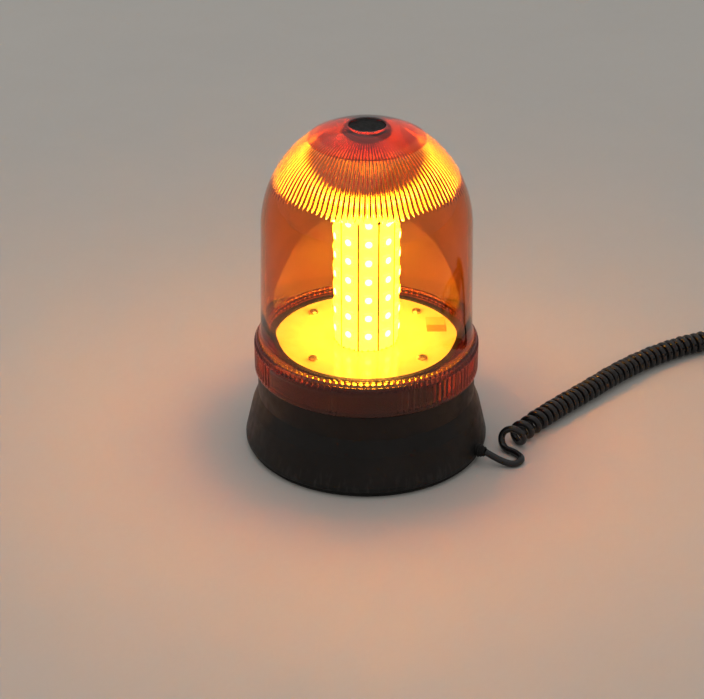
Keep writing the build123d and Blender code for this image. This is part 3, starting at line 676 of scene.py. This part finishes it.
def add_strain_reliefs():
    """The rubber boots at the two ends of the lead, each with a shank inside the base or the plug."""
    outwards = Matrix.Rotation(math.radians(GLAND_AZIMUTH), 4, "Z") @ Matrix.Rotation(math.pi / 2, 4, "Y")
    gland_place = Matrix.Translation((0, 0, GLAND_Z)) @ outwards
    flange_start, flange_end, stem_end = 59.6, 62.1, 70.8  # distances from the beacon's axis
    boot = grooved(stem_end, GLAND_TIP_R, GLAND_FLANGE_R, 2.75, BOOT_BORE_R, 2, 0.4)
    stem = [
        (SHANK_BORE_R, flange_start),
        (GLAND_FLANGE_R, flange_start),
        (GLAND_FLANGE_R, flange_end),
        (GLAND_R, flange_end),
        (GLAND_R, stem_end),
        (SHANK_BORE_R, stem_end),
    ]
    shapes = [(lathe(boot), gland_place, 0), (lathe(stem), gland_place, 0)]
    gland = piece("gland_boot", shapes, ["black_rubber"], "base")
    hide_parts("cable_gland")
    plug_place = Matrix.Translation((PLUG_X, 0, PLUG_Z))
    backward = plug_place @ Matrix.Rotation(math.pi / 2, 4, "X")
    forward = plug_place @ Matrix.Rotation(-math.pi / 2, 4, "X")
    boot = grooved(0.0, STRAIN_L, STRAIN_ROOT_R, 2.8, BOOT_BORE_R, 7, 0.75)
    shank_l = 12.0
    shank = [
        (SHANK_BORE_R, 0.0),
        (STRAIN_NECK_R, 0.0),
        (STRAIN_NECK_R, shank_l),
        (SHANK_BORE_R, shank_l),
    ]
    shapes = [(lathe(boot), backward, 0), (lathe(shank), forward, 0)]
    sleeve = piece("plug_boot", shapes, ["black_rubber"], "base")
    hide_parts("plug_strain_relief")
    return [gland, sleeve]


def add_spring():
    """The spring behind the plug's fuse, a wire wound in open turns."""
    length = SPRING_END - SPRING_START
    place = Matrix.Translation((PLUG_X, SPRING_START, PLUG_Z)) @ Matrix.Rotation(-math.pi / 2, 4, "X")
    coil = wire_coil(SPRING_R, SPRING_WIRE_R, length, SPRING_TURNS)
    spring = piece("spring_coil", [(coil, place, 0)], ["zinc_steel"], "base")
    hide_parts("contact_spring")
    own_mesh(spring)
    return spring


# ---- lens ----


def arc_points(middle, radius, start, end, count):
    """Points on an arc in the (radius, height) plane, the first left out."""
    angles = [math.radians(start + (end - start) * step / count) for step in range(1, count + 1)]
    return [(middle[0] + radius * math.cos(a), middle[1] + radius * math.sin(a)) for a in angles]


def arc_through(first, second, third, count):
    """Points on the arc through three points, the first left out and the last kept."""
    (ax, ay), (bx, by), (cx, cy) = first, second, third
    d = 2 * (ax * (by - cy) + bx * (cy - ay) + cx * (ay - by))
    a2, b2, c2 = ax * ax + ay * ay, bx * bx + by * by, cx * cx + cy * cy
    middle = (
        (a2 * (by - cy) + b2 * (cy - ay) + c2 * (ay - by)) / d,
        (a2 * (cx - bx) + b2 * (ax - cx) + c2 * (bx - ax)) / d,
    )
    radius = math.dist(middle, first)
    start = math.degrees(math.atan2(ay - middle[1], ax - middle[0]))
    end = math.degrees(math.atan2(cy - middle[1], cx - middle[0]))
    return arc_points(middle, radius, start, end, count)


def between(first, second, shares):
    """Points on the line from first to second, at shares of the way."""
    return [tuple(a + (b - a) * share for a, b in zip(first, second)) for share in shares]


def ribbed(kind, points):
    """(radius, height) points, each with the kind of ribs that it carries."""
    return [(*point, kind) for point in points]


def lens_outline():
    """The lens's closed section as (radius, height, kind) corners, up the outside and down the inside."""
    middle = (LENS_HIGH[0] - SHOULDER_R, LENS_HIGH[1])
    cap_turn = math.degrees(math.acos((CAP_R + 0.6 - middle[0]) / SHOULDER_R))
    inner_r = SHOULDER_R - LENS_WALL
    rib_turn = math.degrees(math.asin((CROWN_RIB_Z - middle[1]) / inner_r)) + 0.5
    low_in, high_in = [(r - LENS_WALL, z) for r, z in (LENS_LOW, LENS_HIGH)]
    cup_r, cup_z = RECESS_R + LENS_WALL, RECESS_Z - LENS_WALL
    cap_mid_r = (CAP_R + RECESS_R + 1) / 2
    bore_top_z = LENS_RIM_TOP_Z + 1.8
    quarters = (0.25, 0.5, 0.75)

    outline = ribbed("plain", [
        (LENS_BORE_R, LENS_RIM_Z),
        (LENS_RIM_R - RIM_BEVEL, LENS_RIM_Z),
        (LENS_RIM_R - 0.3 * RIM_BEVEL, LENS_RIM_Z + 0.3 * RIM_BEVEL),
        (LENS_RIM_R, LENS_RIM_Z + RIM_BEVEL),
    ])
    for z in (49.5, 50.0, 50.6, 52.8, 56.0, 60.0, 61.4, 61.9, 62.3, 62.8, 63.6):
        outline.append((LENS_RIM_R, z, "collar"))
    for kind, shares in (
        ("slope", (0.0, 0.1, 0.18)),
        ("plain", (0.26, 0.38)),
        ("slope", (0.42, 0.5, 0.58, 0.66)),
        ("plain", (0.7, 0.78, 0.9, 1.0)),
    ):
        outline += ribbed(kind, between((LENS_RIM_R, LENS_RIM_TOP_Z), LENS_LOW, shares))
    outline += ribbed("plain", between(LENS_LOW, LENS_HIGH, quarters) + [LENS_HIGH])
    outline += ribbed("plain", arc_points(middle, SHOULDER_R, 0, cap_turn, 30))

    # the ring line where the cap starts, the cap, its recess and the boss under it
    cap = arc_through((CAP_R, CAP_Z), (cap_mid_r, CAP_Z + 4.6), (RECESS_R + 1, TOP_Z), 12)
    outline += ribbed("plain", [
        (CAP_R + 0.15, CAP_Z - 0.7),
        (CAP_R + 0.1, CAP_Z - 0.2),
        (CAP_R - 0.3, CAP_Z + 0.1),
        *cap,
        (RECESS_R + 0.3, TOP_Z),
        (RECESS_R, TOP_Z - 0.3),
        (RECESS_R, RECESS_Z),
        (LENS_HOLE_R, RECESS_Z),
        (LENS_HOLE_R, BOSS_Z),
        (BOSS_R, BOSS_Z),
        (BOSS_R, cup_z),
        (cup_r, cup_z),
    ])

    cap_under = (cup_r, TOP_Z - 2.8)
    crown = arc_through(cap_under, (cap_mid_r, CAP_Z + 2.1), (CAP_R - 1.2, CAP_Z - 2.3), 9)
    crown += arc_points(middle, inner_r, cap_turn, rib_turn, 14)
    outline += ribbed("crown", [cap_under, *crown])
    outline += ribbed("plain", arc_points(middle, inner_r, rib_turn, 0, 12))
    outline += ribbed("plain", between(high_in, low_in, quarters) + [low_in])
    outline += ribbed("plain", [(low_in[0], bore_top_z), (LENS_BORE_R, bore_top_z)])
    return outline


def collar_depth(degrees, z):
    """How far the collar's outside is cut in: ribs, a plain window in front and a plain panel beside it."""
    from_front = (degrees + 270) % 360 - 180
    if abs(from_front) < WINDOW_TURN or PANEL_TURNS[0] < from_front < PANEL_TURNS[1]:
        return PLAIN_DEPTH if PLAIN_Z[0] < z < PLAIN_Z[1] else 0.0
    wave = 0.5 - 0.5 * math.cos(math.radians(degrees) * RIB_COUNT)
    return wave * (COLLAR_RIB_DEPTH if COLLAR_RIBS_Z[0] < z < COLLAR_RIBS_Z[1] else COLLAR_EDGE_DEPTH)


def rib_steps():
    """Azimuths round the lens, each with a half-round rib's height there as a share of half its width."""
    edge = math.radians(RIB_EDGE)
    for rib in range(RIB_COUNT):
        for step in range(RIB_STEPS):
            turn = edge * (2 * step / RIB_STEPS - 1)
            azimuth = 360 / RIB_COUNT * (rib + 0.5 * math.sin(turn) / math.sin(edge))
            yield azimuth, (math.cos(turn) - math.cos(edge)) / math.sin(edge)


def lens_corner(radius, z, kind, degrees, rise):
    """One corner of the lens with its ribs worked in."""
    if kind == "collar":
        radius -= collar_depth(degrees, z)
    elif kind == "slope":
        radius -= SLOPE_RIB_DEPTH * rise
    elif kind == "crown":
        depth = rise * math.pi * radius / RIB_COUNT
        inward = Vector((-radius, LENS_HIGH[1] - z)).normalized()
        radius, z = radius + inward.x * depth, z + inward.y * depth
    angle = math.radians(degrees)
    return (radius * math.cos(angle), radius * math.sin(angle), z)


def add_lens():
    """The amber dome: half-round ribs inside the crown, on the slope above the rim and round the rim."""
    outline = lens_outline()
    corners = []
    for degrees, rise in rib_steps():
        corners += [lens_corner(*corner, degrees, rise) for corner in outline]
    shape = (corners, ring_faces(RIB_COUNT * RIB_STEPS, len(outline)))
    lens = piece("amber_dome", [(shape, Matrix.Identity(4), 0)], ["amber_lens"], "lens", crease=50.0)
    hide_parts("lens_dome")


# ---- light column ----


def on_strip(number, height, out):
    """A matrix at a height on a face of the column: local Z points outwards and local Y up."""
    turn = math.radians(-90 + COLUMN_TURN + 360 * number / STRIP_COUNT)
    outwards = Vector((math.cos(turn), math.sin(turn), 0))
    across = Vector((-math.sin(turn), math.cos(turn), 0))
    place = outwards * (STRIP_FACE_R + out) + Vector((0, 0, height))
    matrix = Matrix.Identity(4)
    for column, axis in enumerate((across, Vector((0, 0, 1)), outwards, place)):
        matrix.col[column].xyz = axis
    return matrix


def add_leds():
    """Eight packages on each strip: a rounded case, a rim round the lit window, and six contacts."""
    case = block(LED_SIZE, LED_SIZE, LED_H, 0.22)
    window = dome(LED_DOME_R, LED_DOME_H)
    rim = lathe([(1.95, 0.0), (2.15, 0.0), (2.15, 0.12), (2.05, 0.18), (1.95, 0.12)], 28)
    contact = block(0.45, 0.7, 0.5, 0.08)
    for number in range(STRIP_COUNT):
        shapes = []
        for row in range(LED_ROWS):
            height = LED_LOW_Z + row * LED_PITCH
            shapes.append((case, on_strip(number, height, 0.0), 0))
            shapes.append((rim, on_strip(number, height, LED_H), 0))
            shapes.append((window, on_strip(number, height, LED_H), 1))
            for side in (-1, 1):
                for level in (-1.5, 0.0, 1.5):
                    foot = Matrix.Translation((side * (LED_SIZE / 2 + 0.1), level, 0.0))
                    shapes.append((contact, on_strip(number, height, 0.0) @ foot, 2))
        looks = ["led_package", "led_amber", "solder"]
        leds = piece(f"leds_{number + 1:02d}", shapes, looks, "base")
        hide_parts(f"strip_leds_{number + 1:02d}")


def add_solder():
    """The joints between the strips' feet and the round board."""
    bead = dome(0.75, 0.9, 4, 14)
    shapes = []
    for number in range(STRIP_COUNT):
        for across in (-3.4, 0.0, 3.4):
            foot = on_strip(number, BOARD_TOP_Z, 0.35) @ Matrix.Translation((across, 0, 0))
            upright = Matrix.Translation(foot.translation)
            shapes.append((bead, upright, 0))
    piece("solder_joints", shapes, ["solder"], "base")


# ---- CAD nodes that keep their shape ----


def finish_nodes():
    """Gives every CAD node the material of its slot."""
    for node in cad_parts.values():
        for place in node.material_slots:
            slot = place.material.name.split(".")[0]
            place.material = materials[slot]


# ---- floor and light ----


def add_floor():
    """A wide pale floor with a faint unevenness."""
    mesh = bpy.data.meshes.new("floor")
    reach = 4.0
    corners = [(-reach, -reach, 0), (reach, -reach, 0), (reach, reach, 0), (-reach, reach, 0)]
    mesh.from_pydata(corners, [], [(0, 1, 2, 3)])
    tree = Tree("floor")
    tree.feed("Base Color", tree.blend(tree.noise(300), (0.60, 0.58, 0.55), (0.66, 0.64, 0.60)))
    tree.feed("Roughness", tree.span(tree.noise(40), 0.55, 0.7))
    tree.fix(Specular_IOR_Level=0.25)
    mesh.materials.append(tree.material)
    floor = bpy.data.objects.new("floor", mesh)
    bpy.context.scene.collection.objects.link(floor)


def add_lights():
    """A soft square light overhead, aimed at the lens, and an even pale room."""
    data = bpy.data.lights.new("overhead", "AREA")
    data.shape = "SQUARE"
    data.size = LIGHT_SIZE
    data.energy = LIGHT_POWER
    light = bpy.data.objects.new("overhead", data)
    light.location = LIGHT_PLACE
    down = Vector((0, 0, 0.1)) - light.location
    light.rotation_euler = down.to_track_quat("-Z", "Y").to_euler()
    bpy.context.scene.collection.objects.link(light)
    world = bpy.data.worlds.new("studio")
    world.use_nodes = True
    background = world.node_tree.nodes["Background"]
    background.inputs["Color"].default_value = (1.0, 0.98, 0.95, 1.0)
    background.inputs["Strength"].default_value = ROOM_LIGHT
    bpy.context.scene.world = world
    bpy.context.scene.view_settings.view_transform = "Standard"


add_camera()
materials = make_materials()
add_cord([*add_strain_reliefs(), add_spring(), *(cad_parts[name] for name in PLUG_NODES)])
add_lens()
add_leds()
add_solder()
finish_nodes()
add_floor()
add_lights()
